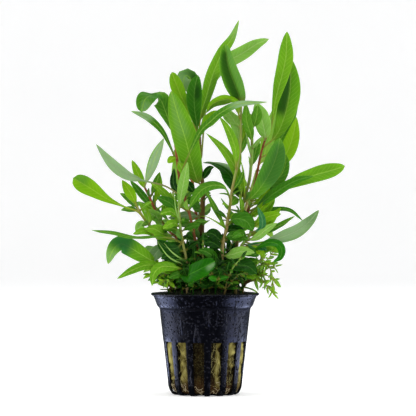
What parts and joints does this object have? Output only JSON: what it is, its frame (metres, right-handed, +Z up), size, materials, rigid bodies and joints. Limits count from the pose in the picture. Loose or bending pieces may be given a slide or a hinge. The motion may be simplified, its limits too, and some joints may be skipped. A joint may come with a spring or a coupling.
{
  "type": "potted hygrophila",
  "caption": "Bushy water plant with lance-shaped green leaves on reddish stems, rooted in a rockwool plug in a slotted black net pot with a flared rim.",
  "frame": {"origin": "centre of the pot's base, on the surface it stands on", "axes": "+Z up along the pot's axis; the plant's front faces -Y and +X is to the viewer's right"},
  "size_m": [0.1346, 0.0904, 0.1875],
  "materials": {
    "pot": "black moulded plastic, softly shining, beaded with water",
    "rockwool": "matted mineral wool, olive to brown, mossy on top",
    "leaf_bright": "fresh green leaf, soft sheen, lighter midrib and side veins",
    "leaf_yellow": "yellow-green young leaf, soft sheen",
    "leaf_pale": "pale green leaf with a greyish sheen",
    "leaf_dark": "deep green shaded leaf, glossy",
    "stem_red": "red-brown stem, green between the joints",
    "stem_brown": "dark brown older stem",
    "stem_tan": "tan to pink stem",
    "stem_green": "yellow-green stem",
    "sprig": "young shoots with small yellow-green leaves"
  },
  "bodies": {
    "root": {"pot": "pot", "rockwool": "rockwool", "stem_1": "stem_red", "stem_2": "stem_brown", "stem_3": "stem_tan", "stem_4": "stem_red", "stem_5": "stem_green", "stem_6": "stem_tan", "stem_7": "stem_red", "stem_8": "stem_tan", "stem_9": "stem_green", "stem_10": "stem_green", "stem_11": "stem_tan", "stem_12": "stem_red", "leaf_1a": "leaf_bright", "leaf_1b": "leaf_bright", "leaf_1c": "leaf_pale", "leaf_1d": "leaf_bright", "leaf_2a": "leaf_bright", "leaf_2b": "leaf_pale", "leaf_2c": "leaf_yellow", "leaf_2d": "leaf_dark", "leaf_2e": "leaf_dark", "leaf_2f": "leaf_bright", "leaf_3a": "leaf_bright", "leaf_3b": "leaf_yellow", "leaf_3c": "leaf_bright", "leaf_3d": "leaf_bright", "leaf_4a": "leaf_bright", "leaf_4b": "leaf_bright", "leaf_4c": "leaf_yellow", "leaf_4d": "leaf_bright", "leaf_4e": "leaf_bright", "leaf_4f": "leaf_pale", "leaf_5a": "leaf_dark", "leaf_5b": "leaf_bright", "leaf_5c": "leaf_dark", "leaf_6a": "leaf_yellow", "leaf_6b": "leaf_yellow", "leaf_6c": "leaf_dark", "leaf_7a": "leaf_pale", "leaf_8a": "leaf_pale", "leaf_8b": "leaf_bright", "leaf_8c": "leaf_bright", "leaf_9a": "leaf_pale", "leaf_9b": "leaf_yellow", "leaf_10a": "leaf_bright", "leaf_10b": "leaf_bright", "leaf_10c": "leaf_dark", "leaf_11a": "leaf_bright", "leaf_11b": "leaf_bright", "leaf_11c": "leaf_yellow", "leaf_12a": "leaf_bright", "leaf_12b": "leaf_bright", "sprig_1": "sprig", "sprig_2": "sprig", "sprig_3": "sprig", "sprig_4": "sprig", "sprig_5": "sprig", "sprig_6": "sprig"}
  },
  "joints": []
}
